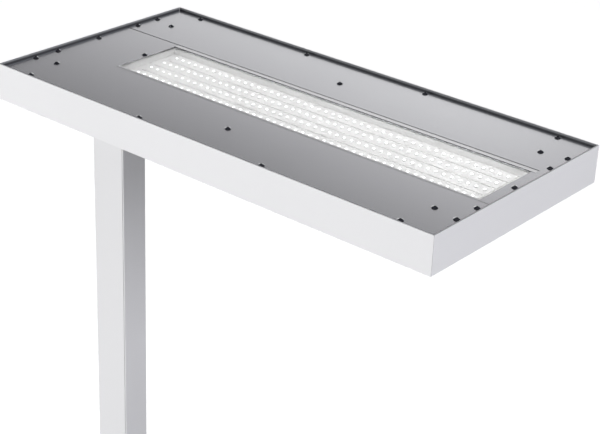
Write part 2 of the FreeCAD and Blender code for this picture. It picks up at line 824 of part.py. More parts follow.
def neck():
    """The underplate, the neck block on it, the spigot in the mast's top and the screws that join them."""
    edge = rail_wall + underplate_edge_clearance
    plate = head_block(edge, underplate_length, edge, head_width - edge, lip_thickness, underplate_top)
    block_top = head_z + chassis_up
    neck_block = block(-neck_length / 2, neck_length / 2, -neck_width / 2, neck_width / 2,
                       head_z + underplate_top, block_top)
    spigot = block(-spigot_x / 2, spigot_x / 2, -spigot_y / 2, spigot_y / 2,
                   mast_top - head_spigot_length, mast_top)
    way = rod(Vector(0, 0, mast_top - head_spigot_length), cable_way_radius, head_depth + head_spigot_length)
    seat = block_top - neck_screw_seat
    mast_screw = cap_screw(m6_radius, m6_length, m6_head_radius, m6_head_height, m6_socket_flats)
    mast_screws = []
    for point in neck_points(neck_screw_x, neck_screw_y, seat):
        plain = rod(point - UP * m6_length, m6_radius + hole_clearance, m6_length)
        neck_block = neck_block.cut(plain)
        neck_block = neck_block.cut(rod(point, m6_head_radius + hole_clearance, neck_screw_seat))
        plate = plate.cut(plain)
        spigot = spigot.cut(rod(point - UP * m6_length, m6_radius + thread_clearance, m6_length))
        mast_screws.append(placed(mast_screw, point))
    plate_screw = flat_screw(m5_radius, underplate_screw_length, m5_head_radius, m5_head_height,
                             m5_socket_flats)
    plate_screws = []
    for point in neck_points(underplate_screw_x, underplate_screw_y, head_z + lip_thickness):
        plate = plate.cut(flat_seat(point, DOWN, m5_radius, m5_head_radius, m5_head_height,
                                    underplate_thickness))
        neck_block = neck_block.cut(rod(point, m5_radius + thread_clearance, underplate_screw_length))
        plate_screws.append(placed(plate_screw, point, DOWN))
    for point in cross_bar_screw_points():
        plate = plate.cut(rod(point, m3_radius + thread_clearance, m3_length))
    for point, direction in web_screw_points(mast_top, -1):
        spigot = spigot.cut(web_screw_hole(point, direction))
    return {
        "head_underplate": [plate.cut(way)], "neck_block": [neck_block.cut(way)],
        "head_spigot": [spigot.cut(way)], "neck_screws": mast_screws, "underplate_screws": plate_screws,
    }


# ---------------------------------------------------------------- mast
def web_screw_points(end_z, sign):
    """Where the screws near one end of the mast lie flush in its webs, with the way their heads face."""
    points = []
    for k in range(2):
        z = end_z + sign * (web_screw_first + web_screw_pitch * k)
        for side in (-1, 1):
            points.append((Vector(0, side * web_outer_y, z), Vector(0, side, 0)))
    return points


def web_screw_hole(point, direction):
    """The tapped hole that a web screw runs into."""
    return rod(point, web_screw_radius + thread_clearance, web_screw_length, direction * -1)


def web_screws(end_z, sign):
    """The screws that hold a spigot in one end of the mast, under the cover strips."""
    screw = flat_screw(web_screw_radius, web_screw_length, web_screw_head_radius,
                       web_screw_head_height, m4_socket_flats)
    return [placed(screw, point, direction) for point, direction in web_screw_points(end_z, sign)]


def mast():
    """The mast's extrusion: two side walls joined by two webs, open to the covers front and back."""
    half_x = mast_width / 2
    half_y = mast_depth / 2
    profile = block(-half_x, half_x, -half_y, half_y, base_top, mast_top)
    profile = profile.cut(block(-cavity_x / 2, cavity_x / 2, -cavity_y / 2, cavity_y / 2,
                                base_top, mast_top))
    for side in (-1, 1):
        rebate = block(-cavity_x / 2, cavity_x / 2, *sorted((side * web_outer_y, side * half_y)),
                       base_top, mast_top)
        profile = profile.cut(rebate)
    for point, direction in web_screw_points(mast_top, -1) + web_screw_points(base_top, 1):
        profile = profile.cut(flat_seat(point, direction, web_screw_radius, web_screw_head_radius,
                                        web_screw_head_height, mast_web))
    profile = profile.cut(control_cut_out())
    profile = profile.cut(rod(Vector(0, 0, gland_height), gland_shank_radius + gland_shank_fit,
                              mast_depth, Vector(0, 1, 0)))
    for point in control_screw_points():
        profile = profile.cut(rod(point, m3_radius + thread_clearance, mast_depth / 2, Vector(0, 1, 0)))
    return {"mast_profile": [profile]}


def cover_strip(side):
    """A cover strip for the near (-1) or far (+1) side of the mast, with its two clip ribs."""
    outer = side * mast_depth / 2
    inner = side * (mast_depth / 2 - cover_strip_thickness)
    web = side * web_outer_y
    left = -cavity_x / 2 + cover_strip_tight_gap
    right = cavity_x / 2 - cover_strip_prise_gap
    strip = block(left, right, *sorted((inner, outer)), base_top, mast_top)
    ribs = []
    for start in (left + cover_strip_rib_inset, right - cover_strip_rib_inset - cover_strip_rib):
        ribs.append(block(start, start + cover_strip_rib, *sorted((web, inner)), base_top, mast_top))
    return strip.fuse(ribs).removeSplitter()


def mast_covers():
    """The near strip has the control's cut-out and the far one the gland's hole."""
    near = cover_strip(-1).cut(control_cut_out())
    for point in control_screw_points():
        near = near.cut(rod(point, m3_radius + hole_clearance, mast_depth / 2, Vector(0, 1, 0)))
    hole = rod(Vector(0, 0, gland_height), gland_shank_radius + gland_shank_fit, mast_depth,
               Vector(0, 1, 0))
    return {"near_mast_cover": [near], "far_mast_cover": [cover_strip(1).cut(hole)]}


def mast_harness():
    """The lead from the control board up the mast to the terminal block in the head."""
    start_z = control_height + harness_start
    up = head_z + chassis_top + terminal_height / 2
    board_back = -mast_depth / 2 + housing_depth
    corner = [Vector(0, board_back, start_z), Vector(0, harness_offset_y, start_z),
              Vector(0, harness_offset_y, up), Vector(0, terminal_gap, up)]
    return {"mast_harness": [routed_tube("mast harness", corner, [harness_bend, harness_bend],
                                         harness_radius)]}


# ---------------------------------------------------------------- control
def control_cut_out():
    """The opening for the control's housing in the near strip and web."""
    half_x = housing_width / 2 + housing_fit
    half_z = housing_height / 2 + housing_fit
    return block(-half_x, half_x, -mast_depth, -cavity_y / 2 + housing_fit,
                 control_height - half_z, control_height + half_z)


def control_screw_points():
    """The front of the bezel at its two screws."""
    front = -mast_depth / 2 - bezel_proud
    return [Vector(0, front, control_height + side * control_screw_offset) for side in (-1, 1)]


def button_centres():
    """The height of each button's centre, by node name."""
    return {"uplight_button": control_height + button_pitch / 2,
            "downlight_button": control_height - button_pitch / 2}


def control_housing():
    """The moulded bezel and box that hold the buttons and their board, with its screws."""
    surface = -mast_depth / 2
    front = surface - bezel_proud
    back = surface + housing_depth
    bezel = rounded_block(-bezel_width / 2, bezel_width / 2, front, surface,
                          control_height - bezel_height / 2, control_height + bezel_height / 2,
                          button_corner + housing_wall, Vector(0, 1, 0))
    body = block(-housing_width / 2, housing_width / 2, surface, back,
                 control_height - housing_height / 2, control_height + housing_height / 2)
    inner_x = housing_width / 2 - housing_wall
    inner_z = housing_height / 2 - housing_wall
    room = block(-inner_x, inner_x, front + bezel_face, back,
                 control_height - inner_z, control_height + inner_z)
    shell = bezel.fuse(body).cut(room).removeSplitter()
    half_x = button_width / 2 + button_opening_gap
    half_z = button_height / 2 + button_opening_gap
    for z in button_centres().values():
        opening = rounded_block(-half_x, half_x, front - cut_margin, front + bezel_face + cut_margin,
                                z - half_z, z + half_z, button_corner, Vector(0, 1, 0))
        shell = shell.cut(opening)
    screw = flat_screw(m3_radius, control_screw_length, m3_head_radius, bezel_proud, m3_socket_flats)
    screws = []
    for point in control_screw_points():
        shell = shell.cut(flat_seat(point, Vector(0, -1, 0), m3_radius, m3_head_radius, bezel_proud,
                                    control_screw_length))
        screws.append(placed(screw, point, Vector(0, -1, 0)))
    return {"control_housing": [shell], "control_screws": screws}


def board_front():
    """The control board's front face."""
    return -mast_depth / 2 + housing_depth - control_board_thickness


def buttons():
    """The two push-buttons, each with the switch plunger that it moves."""
    bezel_front = -mast_depth / 2 - bezel_proud
    cap_front = bezel_front - button_proud
    flange_front = bezel_front + bezel_face + button_flange_gap
    flange_back = flange_front + button_flange_thickness
    switch_front = board_front() - switch_height
    stem_end = switch_front - plunger_length + plunger_entry
    half_x = button_width / 2
    half_z = button_height / 2
    made = {}
    for name, z in button_centres().items():
        cap = rounded_block(-half_x, half_x, cap_front, flange_front, z - half_z, z + half_z,
                            button_corner, Vector(0, 1, 0))
        flange = block(-half_x - button_flange, half_x + button_flange, flange_front, flange_back,
                       z - half_z - button_flange, z + half_z + button_flange)
        stem = rod(Vector(0, flange_back, z), button_stem_radius, stem_end - flange_back,
                   Vector(0, 1, 0))
        made[name] = [cap.fuse([flange, stem]).removeSplitter()]
        plunger = rod(Vector(0, stem_end, z), switch_plunger_radius, plunger_length, Vector(0, 1, 0))
        made[name.replace("button", "plunger")] = [plunger]
    return made


def control_board():
    """The board behind the buttons and the body of each switch on it."""
    inner_x = housing_width / 2 - housing_wall - control_board_clearance
    inner_z = housing_height / 2 - housing_wall - control_board_clearance
    front = board_front()
    board = block(-inner_x, inner_x, front, front + control_board_thickness,
                  control_height - inner_z, control_height + inner_z)
    half = switch_side / 2
    bore_depth = plunger_entry + button_travel + 2 * plunger_bore_clearance
    switches = []
    for z in button_centres().values():
        body = block(-half, half, front - switch_height, front, z - half, z + half)
        bore = rod(Vector(0, front - switch_height, z), switch_plunger_radius + plunger_bore_clearance,
                   bore_depth, Vector(0, 1, 0))
        switches.append(body.cut(bore))
    return {"control_board": [board], "push_switches": switches}


# ---------------------------------------------------------------- mains lead gland
def gland():
    """The cable gland low on the mast's far side, where the mains lead goes in."""
    away = Vector(0, 1, 0)
    surface = mast_depth / 2
    axis_point = Vector(0, surface, gland_height)
    web_inner = cavity_y / 2
    shank_start = Vector(0, web_inner - gland_shank_inside, gland_height)
    hex_end = axis_point + away * gland_hex_thickness
    seal_seat = hex_end + away * (gland_neck_length - gland_cap_face - gland_seal_length)
    body = hexagon(axis_point, gland_hex_flats, away * gland_hex_thickness)
    shank = rod(shank_start, gland_shank_radius, surface - shank_start.y, away)
    neck_rod = rod(hex_end, gland_neck_radius, gland_neck_length - gland_cap_face, away)
    body = body.fuse([shank, neck_rod])
    body = body.cut(rod(shank_start, gland_way_radius, seal_seat.y - shank_start.y, away))
    body = body.cut(rod(seal_seat, gland_seal_radius + gland_fit, gland_seal_length, away))
    seal = rod(seal_seat, gland_seal_radius, gland_seal_length, away)
    seal = seal.cut(rod(seal_seat, gland_bore_radius, gland_seal_length, away))
    cap_start = hex_end + away * (gland_neck_length - gland_cap_length)
    cap_radius = gland_neck_radius + gland_fit + gland_cap_wall
    cap = rod(cap_start, cap_radius, gland_cap_length, away)
    cap = cap.cut(rod(cap_start, gland_neck_radius + gland_fit, gland_cap_length - gland_cap_face, away))
    cap = cap.cut(rod(cap_start, gland_way_radius, gland_cap_length, away))
    rim = [edge for edge in cap.Edges
           if isinstance(edge.Curve, Part.Circle) and edge.Curve.Radius > cap_radius - gland_fit
           and edge.BoundBox.YMin > cap_start.y + gland_cap_length - gland_fit]
    cap = cap.makeFillet(gland_cap_round, rim)
    nut_start = Vector(0, web_inner - gland_nut_thickness, gland_height)
    nut = hexagon(nut_start, gland_hex_flats, away * gland_nut_thickness)
    nut = nut.cut(rod(nut_start, gland_shank_radius + thread_clearance, gland_nut_thickness, away))
    return {"gland_body": [body.removeSplitter()], "gland_seal": [seal], "gland_cap": [cap], "gland_lock_nut": [nut]}


# ---------------------------------------------------------------- base
def foot_screw_points():
    """The underside of the base plate at each screw up into the mast's foot."""
    return [Vector(x, y, underlay_thickness) for x in (-foot_screw_x, foot_screw_x)
            for y in (-foot_screw_y, foot_screw_y)]


def base():
    """The steel base plate, its underlay, the foot spigot and the screws that join them."""
    x0 = -base_behind
    x1 = x0 + base_length
    plate = rounded_block(x0, x1, -base_width / 2, base_width / 2, underlay_thickness, base_top,
                          base_corner)
    top_edges = [edge for edge in plate.Edges if edge.BoundBox.ZMin > base_top - base_chamfer]
    plate = plate.makeChamfer(base_chamfer, top_edges)
    underlay = rounded_block(x0 + underlay_inset, x1 - underlay_inset, underlay_inset - base_width / 2,
                             base_width / 2 - underlay_inset, 0, underlay_thickness,
                             base_corner - underlay_inset)
    spigot = block(-spigot_x / 2, spigot_x / 2, -spigot_y / 2, spigot_y / 2, base_top,
                   base_top + foot_spigot_length)
    screw = flat_screw(m8_radius, m8_length, m8_head_radius, m8_head_height, m8_socket_flats)
    screws = []
    for point in foot_screw_points():
        plate = plate.cut(flat_seat(point, DOWN, m8_radius, m8_head_radius, m8_head_height,
                                    base_thickness))
        spigot = spigot.cut(rod(point, m8_radius + thread_clearance, m8_length))
        screws.append(placed(screw, point, DOWN))
    for point, direction in web_screw_points(base_top, 1):
        spigot = spigot.cut(web_screw_hole(point, direction))
    return {"base_plate": [plate], "base_underlay": [underlay], "foot_spigot": [spigot],
            "foot_screws": screws}


# ---------------------------------------------------------------- the whole lamp
def lamp():
    """Every sub-part of the lamp, as node name to list of solids."""
    nodes = {}
    for group in (frame_rails, corner_brackets, cover_plates, cover_screws, window_pane,
                  reflector_tray, uplight_leds, heat_sink, chassis, cover_standoffs, drivers,
                  terminal_block, head_wiring, diffuser, downlight, neck, mast, mast_covers,
                  mast_harness, control_housing, buttons, control_board, gland, base):
        nodes.update(group())
    nodes["mast_top_screws"] = web_screws(mast_top, -1)
    nodes["mast_foot_screws"] = web_screws(base_top, 1)
    return nodes


def main():
    """Writes one STEP file for each node."""
    os.makedirs("parts", exist_ok=True)
    for name, solids in lamp().items():
        singles = [solid for shape in solids for solid in shape.Solids]
        Part.makeCompound(singles).exportStep("parts/" + name + ".step")
        bad = [k for k, solid in enumerate(singles) if not solid.isValid()]
        volume = sum(solid.Volume for solid in singles)
        print(name, len(singles), "solids", round(volume / 1000, 2), "cm3", "invalid:" if bad else "",
              bad or "")


main()
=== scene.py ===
# %% [markdown]
# # An office floor lamp
#
# The lamp has a flat light head, a slim mast and a steel base. Its shape comes ready made from the CAD
# model, so this lesson is about the rest: the camera, a finish for every part, the marks on its two
# push-buttons, and studio light. Every length is in metres, in the CAD model's own frame.

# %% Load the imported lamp
import math

import bmesh
import bpy
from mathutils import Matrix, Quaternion, Vector


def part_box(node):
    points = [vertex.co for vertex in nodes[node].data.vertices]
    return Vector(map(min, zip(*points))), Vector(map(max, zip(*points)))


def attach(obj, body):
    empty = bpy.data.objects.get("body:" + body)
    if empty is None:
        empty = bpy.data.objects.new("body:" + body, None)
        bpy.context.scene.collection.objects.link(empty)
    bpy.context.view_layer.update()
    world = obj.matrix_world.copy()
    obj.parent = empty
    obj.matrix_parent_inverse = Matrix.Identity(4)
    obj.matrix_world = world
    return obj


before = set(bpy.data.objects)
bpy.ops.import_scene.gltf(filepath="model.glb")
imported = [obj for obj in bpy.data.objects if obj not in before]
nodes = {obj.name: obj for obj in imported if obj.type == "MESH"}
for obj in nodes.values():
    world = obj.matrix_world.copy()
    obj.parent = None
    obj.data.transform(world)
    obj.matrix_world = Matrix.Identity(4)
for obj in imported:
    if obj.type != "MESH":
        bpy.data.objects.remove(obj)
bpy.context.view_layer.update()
mm = 0.001  # one millimetre in metres

# %% [markdown]
# ## The camera
#
# The photograph looks down on the head from about 26 degrees, with a long lens and the camera tipped a
# little to one side. A camera could be turned by three angles, but a place, a point to look at and a roll
# are easier to read and to correct.

# %% Make the camera
camera_place = Vector((1.3482, -1.2698, 2.6198))
looks_at = Vector((0.3257, -0.0200, 1.8246))
camera_roll = math.radians(2.51)
lens_mm = 92.35
sensor_mm = 36.0

camera_data = bpy.data.cameras.new("camera")
camera_data.lens = lens_mm
camera_data.sensor_width = sensor_mm
camera = bpy.data.objects.new("camera", camera_data)
bpy.context.scene.collection.objects.link(camera)
camera.location = camera_place
camera.rotation_mode = "QUATERNION"
towards = (looks_at - camera_place).to_track_quat("-Z", "Y")
camera.rotation_quaternion = towards @ Quaternion((0, 0, 1), camera_roll)
bpy.context.scene.camera = camera
print("camera", round((looks_at - camera_place).length, 2), "m from the head")

# %% [markdown]
# ## Colours and nodes
#
# Paint charts and screens give colours as sRGB hex values, but a shader works with linear light. One
# function turns the first into the second. A second one adds a shader node with its settings and links, so
# that each finish below reads as a short list. A third makes a material, with its even values set on the
# shader itself.

# %% Three helpers


def colour(hex_value, shade=1.0):
    """An sRGB hex value as linear red, green and blue, darkened by shade, with an alpha of 1."""
    parts = [int(hex_value[i : i + 2], 16) / 255 for i in (1, 3, 5)]
    linear = [p / 12.92 if p <= 0.04045 else ((p + 0.055) / 1.055) ** 2.4 for p in parts]
    return (*[part * shade for part in linear], 1.0)


def add(tree, kind, settings=None, inputs=None):
    """Adds a shader node. An input is a number, a colour, or the output or node that feeds it."""
    node = tree.nodes.new("ShaderNode" + kind)
    for name, value in (settings or {}).items():
        setattr(node, name, value)
    for name, value in (inputs or {}).items():
        if isinstance(value, bpy.types.Node):
            value = value.outputs[0]
        if isinstance(value, bpy.types.NodeSocket):
            tree.links.new(value, node.inputs[name])
        else:
            node.inputs[name].default_value = value
    return node


def finish(name, **values):
    """A new material with a Principled shader, and that shader's inputs set to values."""
    material = bpy.data.materials.new(name)
    material.use_nodes = True
    shader = material.node_tree.nodes["Principled BSDF"]
    for key, value in values.items():
        shader.inputs[key.replace("_", " ")].default_value = value
    return material, material.node_tree, shader


print("mid grey is", round(colour("#808080")[0], 3), "in linear light")

# %% [markdown]
# ## A place in the part, and grain
#
# A pattern could follow UV coordinates, but the CAD model has none. Object coordinates are metres in the
# lamp's own frame, so a grain size in millimetres is simply one over that length. They also ride with a
# part that moves. Rolled, drawn and extruded metal has a direction, so its grain is the same noise,
# stretched along one axis.

# %% Grain


def grain(tree, size, stretch=(1, 1, 1), detail=2.0):
    """Noise from 0 to 1 with lumps of a given size in metres, stretched by a factor along each axis."""
    place = add(tree, "TexCoord").outputs["Object"]
    scaled = tuple(1 / (size * factor) for factor in stretch)
    spread = add(tree, "VectorMath", {"operation": "MULTIPLY"}, {0: place, 1: scaled})
    noise = add(tree, "TexNoise", inputs={"Vector": spread, "Scale": 1.0, "Detail": detail})
    return noise.outputs["Fac"]


def vary_roughness(tree, shader, noise, low, high):
    """Roughness between low and high. Noise seldom leaves its middle part, so that part is spread out."""
    gloss = add(tree, "MapRange", inputs={"Value": noise, "From Min": 0.3, "From Max": 0.7,
                                          "To Min": low, "To Max": high})
    tree.links.new(gloss.outputs["Result"], shader.inputs["Roughness"])


def vary_colour(tree, shader, noise, dark, light):
    """Base colour between dark, where noise is 0, and light, where it is 1."""
    tint = add(tree, "Mix", {"data_type": "RGBA"}, {0: noise, 6: dark, 7: light})
    tree.links.new(tint.outputs[2], shader.inputs["Base Color"])


def raise_surface(tree, shader, noise, depth):
    """Bumps as high as depth, in metres."""
    bump = add(tree, "Bump", inputs={"Height": noise, "Distance": depth})
    tree.links.new(bump.outputs["Normal"], shader.inputs["Normal"])


print("the first grain below is", 1 / (6 * mm), "lumps in a metre")

# %% [markdown]
# ## Powder coat on the frame, mast, underplate and base
#
# The head's four rails and the mast are extruded aluminium with a baked polyester powder coat, near
# white. The powder melts into a skin with shallow waves a few millimetres long, called orange peel, so its
# gloss is soft and a little uneven. Waves of 3 mm are too fine to show from two metres, so they are drawn
# at 6 mm. The steel base has a structured powder, which is rougher: its grains of 0.5 mm are drawn at
# 1.5 mm.

# %% Powder coat


def powder_coat(name, hex_value, roughness, wave=6 * mm, depth=0.02 * mm):
    """A baked powder coat: slightly uneven gloss, shallow waves and a faint drift of colour."""
    material, tree, shader = finish(name)
    peel = grain(tree, wave)
    vary_roughness(tree, shader, peel, roughness - 0.05, roughness + 0.05)
    drift = grain(tree, 180 * mm, detail=1.0)
    vary_colour(tree, shader, drift, colour(hex_value, 0.965), colour(hex_value))
    raise_surface(tree, shader, peel, depth)
    return material


frame_powder = powder_coat("white_powder_coat", "#E9E9E9", 0.42)
mast_powder = powder_coat("mast_powder_coat", "#E4E4E4", 0.40)
underplate_powder = powder_coat("underplate_powder_coat", "#E4E4E6", 0.42)
base_powder = powder_coat("structured_powder_coat", "#C2C3C6", 0.55, 1.5 * mm, 0.06 * mm)
powders = (frame_powder, mast_powder, underplate_powder, base_powder)
print("powder coats:", [powder.name for powder in powders])

# %% [markdown]
# ## The frame's inner side
#
# Round the recessed plates the rim's inner side lies in shade, darkest in the gap at the bottom, and that
# shade is painted into the coat as a dull grey. The rails could be cut into faces with two materials, but
# their mesh belongs to the CAD model. So the coat asks where it is: inside the frame's outline, less a
# wall's thickness, it gives way to the painted shade.

# %% Painted shade inside the rim


def between(tree, xyz, axis, low, high):
    """1 where a coordinate lies between two values."""
    middle = (low + high) / 2
    offset = add(tree, "Math", {"operation": "SUBTRACT"}, {0: xyz.outputs[axis], 1: middle})
    size = add(tree, "Math", {"operation": "ABSOLUTE"}, {0: offset})
    return add(tree, "Math", {"operation": "LESS_THAN"}, {0: size, 1: (high - low) / 2})


frame_low, frame_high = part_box("near_frame_rail")[0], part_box("far_frame_rail")[1]
plate_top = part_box("near_cover_plate")[1].z
rim_wall = 1.5 * mm
rim_margin = 0.6 * mm  # the tone is even this close to the plates and to the rim's top
tree = frame_powder.node_tree
shader = tree.nodes["Principled BSDF"]
coat = shader.inputs["Base Color"].links[0].from_socket
xyz = add(tree, "SeparateXYZ", inputs={0: add(tree, "TexCoord").outputs["Object"]})
inside_x = between(tree, xyz, "X", frame_low.x + rim_wall, frame_high.x - rim_wall)
inside_y = between(tree, xyz, "Y", frame_low.y + rim_wall, frame_high.y - rim_wall)
inside = add(tree, "Math", {"operation": "MULTIPLY"}, {0: inside_x, 1: inside_y})
height = add(tree, "MapRange", inputs={"Value": xyz.outputs["Z"], "From Min": plate_top + rim_margin,
                                       "From Max": frame_high.z - rim_margin})
# painted shade: a dull grey on the rim's inner side, darker from the top towards the gap at the bottom
rim_shade = add(tree, "Mix", {"data_type": "RGBA"},
           {0: height.outputs["Result"], 6: colour("#505255"), 7: colour("#A8AAAD")})
tone = add(tree, "Mix", {"data_type": "RGBA"}, {0: inside, 6: coat, 7: rim_shade.outputs[2]})
tree.links.new(tone.outputs[2], shader.inputs["Base Color"])
print("the rim stands", round((frame_high.z - plate_top) / mm, 1), "mm above the plates")

# %% [markdown]
# ## Lacquered sheet on top
#
# The two cover plates are rolled aluminium sheet with a silver lacquer, called white aluminium on paint
# charts. Its aluminium flakes lie almost flat, so it acts as a metal with a soft gloss: it has no shade of
# its own, and shows what stands behind it. Flakes of 0.03 mm are too fine to show, so they are drawn at
# 1.5 mm, as a slight unevenness of the gloss. The sheet's rolling marks run along the head.

# %% Silver lacquer
silver_lacquer, tree, shader = finish("silver_lacquer", Metallic=1.0)
vary_roughness(tree, shader, grain(tree, 1.5 * mm), 0.19, 0.25)
cloud = grain(tree, 90 * mm)
rolled = grain(tree, 2 * mm, stretch=(60, 1, 1))
share_of_rolling = 0.35
mixed = add(tree, "Mix", inputs={0: share_of_rolling, 2: cloud, 3: rolled})
vary_colour(tree, shader, mixed, colour("#DADADE", 0.93), colour("#DADADE"))
print("lacquer:", silver_lacquer.name)

# %% [markdown]
# ## Anodised and mill finished aluminium
#
# The beads beside the window are extruded and anodised: a clear, satin skin over fine die lines that run
# the whole length. Brackets, spigots and the heat sink are left as the mill made them, duller and with
# coarser lines. Die lines are 0.1 mm apart, and are drawn at 0.6 mm.

# %% Extruded aluminium


def extruded(name, hex_value, low, high, stretch, depth):
    """Aluminium with die lines along the axis that has the large stretch."""
    material, tree, shader = finish(name, Metallic=1.0)
    lines = grain(tree, 0.6 * mm, stretch=stretch)
    vary_roughness(tree, shader, lines, low, high)
    vary_colour(tree, shader, grain(tree, 40 * mm), colour(hex_value, 0.92), colour(hex_value))
    raise_surface(tree, shader, lines, depth)
    return material


bead_metal = extruded("anodised_aluminium", "#F0F0F2", 0.18, 0.26, (200, 1, 1), 0.002 * mm)
mill_aluminium = extruded("mill_aluminium", "#C4C5C7", 0.38, 0.5, (80, 1, 1), 0.01 * mm)
print("aluminium:", bead_metal.name, mill_aluminium.name)

# %% [markdown]
# ## Galvanised sheet
#
# The chassis is hot-dip galvanised steel. As the zinc sets, it grows flat crystals 10 to 20 mm wide, called
# spangle, that each mirror light a little differently. A Voronoi texture gives every point of a cell the
# same random value, which is just what spangle does.

# %% Galvanised sheet
zinc_sheet, tree, shader = finish("galvanised_sheet", Metallic=1.0)
place = add(tree, "TexCoord").outputs["Object"]
spangle = add(tree, "TexVoronoi", inputs={"Vector": place, "Scale": 1 / (14 * mm)})
crystal = add(tree, "SeparateColor", inputs={0: spangle.outputs["Color"]}).outputs[0]
vary_colour(tree, shader, crystal, colour("#8F9396"), colour("#B4B8BB"))
gloss = add(tree, "MapRange", inputs={"Value": crystal, "To Min": 0.34, "To Max": 0.52})
tree.links.new(gloss.outputs["Result"], shader.inputs["Roughness"])
print("sheet:", zinc_sheet.name)

# %% [markdown]
# ## Screws
#
# The button-head screws on top are zinc plated: bright, but with a slightly milky gloss. Their sockets lie
# in shade, which is painted in as a near-black colour. Ambient occlusion measures how enclosed a point is,
# so it finds the sockets without a mask for every screw. The screws inside are black oxide steel, a dark
# and oily conversion of the surface that leaves no layer.

# %% Screw steel


socket_reach = 1.6 * mm  # how far the occlusion looks for walls: a little over half a socket
# painted shade: the near-black colour of the enclosed sockets
painted_socket_shade = "#0A0A0B"


def screw_steel(name, bright, low, high):
    """Steel with painted shade: nearly black where it is enclosed."""
    material, tree, shader = finish(name, Metallic=1.0)
    vary_roughness(tree, shader, grain(tree, 1 * mm), low, high)
    # painted shade: occlusion turns the sockets and other hollows near black
    occlusion = add(tree, "AmbientOcclusion", {"samples": 8}, {"Distance": socket_reach})
    open_part = add(tree, "MapRange", inputs={"Value": occlusion.outputs["AO"],
                                              "From Min": 0.45, "From Max": 0.8})
    vary_colour(tree, shader, open_part.outputs["Result"], colour(painted_socket_shade), colour(bright))
    return material


bright_steel = screw_steel("zinc_plated_steel", "#E6E7EA", 0.1, 0.18)
dark_steel = screw_steel("black_oxide_steel", "#303133", 0.34, 0.46)
print("screws:", bright_steel.name, dark_steel.name)

# %% [markdown]
# ## The window pane
#
# The pane is clear cast acrylic, 2 mm thick, with an IOR of 1.49. A thin sheet could be faked with a
# see-through shader, but the pane is a real solid with polished edges, so transmission is right: it bends
# the light at its edges and mirrors more of the room at a low angle. Cast sheet is never quite flat, and
# its faint waves are about 60 mm long. Wiping leaves a trace of haze.

# %% Clear acrylic
clear_acrylic, tree, shader = finish("clear_cast_acrylic", Base_Color=colour("#FFFFFF"), IOR=1.49,
                                     Transmission_Weight=1.0)
vary_roughness(tree, shader, grain(tree, 25 * mm), 0.012, 0.03)
raise_surface(tree, shader, grain(tree, 60 * mm, detail=0.0), 0.02 * mm)
print("pane:", clear_acrylic.name)

# %% [markdown]
# ## The opal panel below
#
# The light that goes down leaves through opal acrylic, a milky sheet that hides the LEDs. Its white
# pigment scatters light inside it, which a little subsurface scattering shows, and its lower side has an
# even satin grain.

# %% Opal acrylic
opal_acrylic, tree, shader = finish("opal_acrylic", IOR=1.49, Subsurface_Weight=0.15,
                                    Subsurface_Scale=2 * mm)
satin = grain(tree, 2 * mm)
vary_roughness(tree, shader, satin, 0.3, 0.42)
vary_colour(tree, shader, grain(tree, 120 * mm), colour("#DADBDB"), colour("#E2E3E3"))
raise_surface(tree, shader, satin, 0.01 * mm)
print("panel:", opal_acrylic.name)

# %% [markdown]
# ## The lit LEDs
#
# Each LED of the upward light is a bare chip under a clear silicone dome, so it is brightest at its core
# and falls off to the dome's rim. The domes stand in a grid, so the distance to the nearest core is a
# fold of the coordinate: a ping-pong of x over the pitch, one of y over the row pitch, and Pythagoras.
# The same distance gives a painted halo: the light that each LED throws on the white solder mask round it,
# drawn as a faint glow of the mask itself.

# %% Distance to the nearest LED
led_low, led_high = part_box("uplight_leds")
led_radius = 2.4 * mm
led_columns, led_rows = 48, 4
led_first = Vector((led_low.x + led_radius, led_low.y + led_radius))
led_pitch = Vector(((led_high.x - led_low.x - 2 * led_radius) / (led_columns - 1),
                    (led_high.y - led_low.y - 2 * led_radius) / (led_rows - 1)))


def from_core(tree, first, pitch):
    """The level distance from a point to the nearest core in a grid of LEDs."""
    xyz = add(tree, "SeparateXYZ", inputs={0: add(tree, "TexCoord").outputs["Object"]})
    squares = []
    whole_steps = 99  # they keep the offset above 0, and don't change the fold
    for axis, start, step in (("X", first.x, pitch.x), ("Y", first.y, pitch.y)):
        offset = add(tree, "Math", {"operation": "SUBTRACT"},
                     {0: xyz.outputs[axis], 1: start - whole_steps * step})
        fold = add(tree, "Math", {"operation": "PINGPONG"}, {0: offset, 1: step / 2})
        squares.append(add(tree, "Math", {"operation": "POWER"}, {0: fold, 1: 2.0}))
    total = add(tree, "Math", {"operation": "ADD"}, {0: squares[0], 1: squares[1]})
    return add(tree, "Math", {"operation": "SQRT"}, {0: total}).outputs[0]


def glow(tree, shader, distance, near, far, core, edge):
    """Emission that falls smoothly from core at the distance near to edge at far."""
    fall = add(tree, "MapRange", {"interpolation_type": "SMOOTHSTEP"},
               {"Value": distance, "From Min": near, "From Max": far,
                "To Min": core, "To Max": edge})
    tree.links.new(fall.outputs["Result"], shader.inputs["Emission Strength"])


print("LED pitch", round(led_pitch.x / mm, 2), "by", round(led_pitch.y / mm, 2), "mm")

# %% Silicone domes
lit_dome, tree, shader = finish("lit_silicone_dome", Base_Color=colour("#D6D6D4"), IOR=1.41,
                                Emission_Color=colour("#F6FAFF"))
vary_roughness(tree, shader, grain(tree, 3 * mm), 0.25, 0.35)
glow(tree, shader, from_core(tree, led_first, led_pitch),
     near=0.2 * mm, far=1.9 * mm, core=7.0, edge=0.05)
print("domes:", lit_dome.name)

# %% [markdown]
# ## White boards and the tray
#
# The LEDs sit on aluminium boards with a white solder mask, and the boards lie in a tray of sheet with a
# matt white reflector paint. Under the mask, copper tracks 2 mm wide run along each board and lift it by
# 0.05 mm. They could be drawn one by one, but a stretched grain gives their faint lines at that scale.

# %% Solder mask and reflector paint


